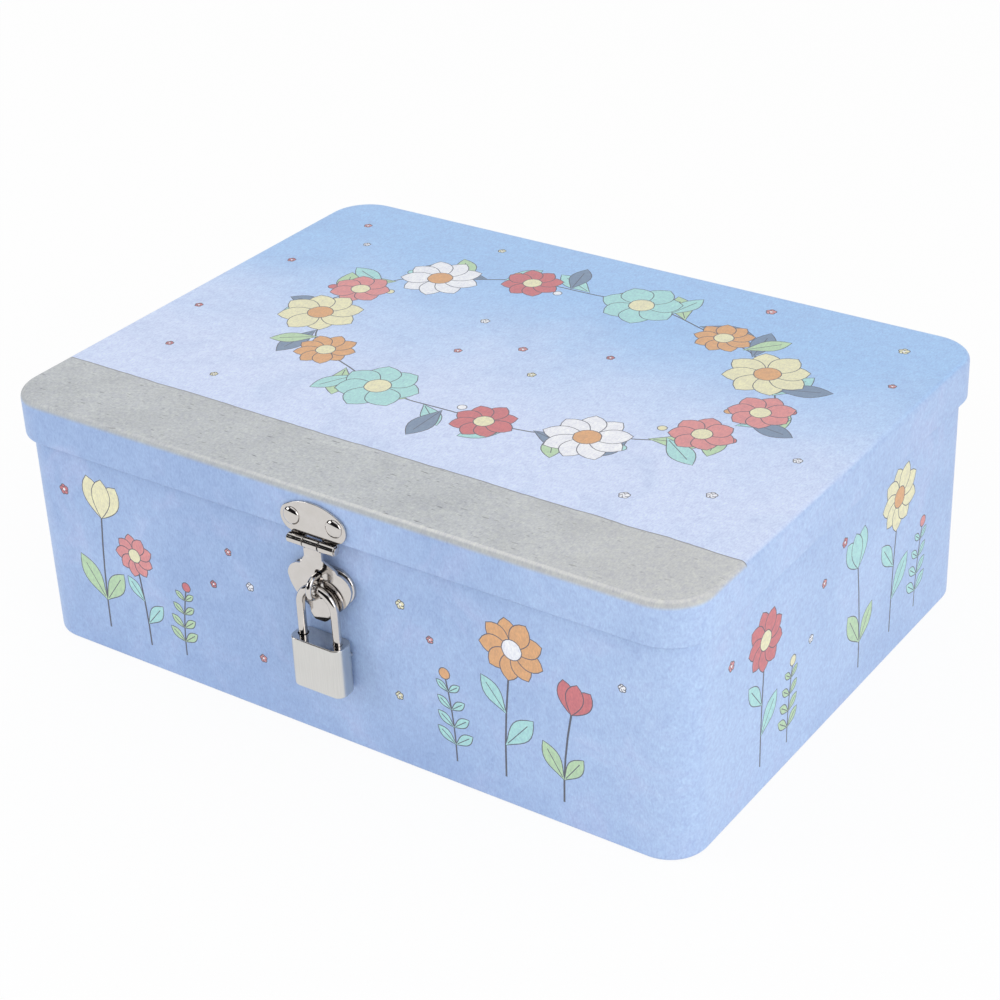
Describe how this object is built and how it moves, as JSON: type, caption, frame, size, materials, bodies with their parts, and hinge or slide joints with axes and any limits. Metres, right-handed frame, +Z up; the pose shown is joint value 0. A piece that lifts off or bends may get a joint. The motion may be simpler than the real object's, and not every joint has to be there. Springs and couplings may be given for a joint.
{
  "type": "lockable tin box",
  "caption": "Rectangular printed tin box with an overlapping hinged lid, a riveted hasp over a wire staple, and a small padlock hung through the staple.",
  "frame": {"origin": "middle of the underside, level with the surface that the box stands on", "axes": "+X along the long side, to the right when the hasp is seen from the front; -Y out of the front with the hasp; +Z up"},
  "size_m": [0.2, 0.155, 0.07],
  "materials": {
    "printed_tin": "satin varnish over a printed blue wash",
    "plain_tin": "bare tinplate",
    "nickel": "bright nickel plate",
    "satin_nickel": "satin nickel plate",
    "brass": "plain machined",
    "spring_steel": "drawn wire"
  },
  "bodies": {
    "box": {"body_shell": "printed_tin", "bottom_panel": "plain_tin", "staple_base": "nickel", "staple_loop": "nickel", "staple_backplate": "plain_tin", "body_hinge_leaf_left": "nickel", "body_hinge_leaf_right": "nickel", "body_hinge_rivets": "nickel", "body_hinge_washers": "plain_tin", "hinge_pin_left": "nickel", "hinge_pin_right": "nickel"},
    "lid": {"lid_shell": "printed_tin", "lid_hinge_leaf_left": "nickel", "lid_hinge_leaf_right": "nickel", "lid_hinge_rivets": "nickel", "lid_hinge_washers": "plain_tin", "hasp_plate": "nickel", "hasp_rivets": "nickel", "hasp_washers": "plain_tin", "hasp_pin": "nickel"},
    "leaf": {"hasp_leaf": "nickel"},
    "shackle_body": {"shackle": "nickel"},
    "padlock": {"padlock_case": "satin_nickel", "latch_spring": "spring_steel", "shackle_spring": "spring_steel", "shackle_retaining_pin": "satin_nickel", "plug_retaining_pin": "satin_nickel"},
    "latch": {"latch_bolt": "brass"},
    "plug": {"key_plug": "brass", "plug_wafers": "brass"}
  },
  "joints": [
    {"name": "lid_hinge", "type": "hinge", "parent": "box", "child": "lid", "pos_m": [0, 0.07506, 0.0572], "axis": [-1, 0, 0], "range_deg": [0, 180]},
    {"name": "hasp_swing", "type": "hinge", "parent": "lid", "child": "leaf", "pos_m": [0, -0.07506, 0.0572], "axis": [-1, 0, 0], "range_deg": [0, 175]},
    {"name": "padlock_swing", "type": "hinge", "parent": "box", "child": "shackle_body", "pos_m": [0, -0.0752, 0.045], "axis": [-1, 0, 0], "range_deg": [0, 80]},
    {"name": "shackle_release", "type": "slide", "parent": "shackle_body", "child": "padlock", "axis": [0, 0, -1], "range_m": [0, 0.005], "deforming": ["shackle_spring"]},
    {"name": "key_turn", "type": "hinge", "parent": "padlock", "child": "plug", "pos_m": [-0.0008, -0.0752, 0.0176], "axis": [0, 0, -1], "range_deg": [0, 90]},
    {"name": "latch_draw", "type": "slide", "parent": "padlock", "child": "latch", "axis": [1, 0, 0], "range_m": [0, 0.0012], "deforming": ["latch_spring"]}
  ],
  "couplings": [
    {"joint": "key_turn", "follows": "shackle_release", "rad_per_m": 314.16},
    {"joint": "latch_draw", "follows": "shackle_release", "ratio": 0.24042}
  ]
}
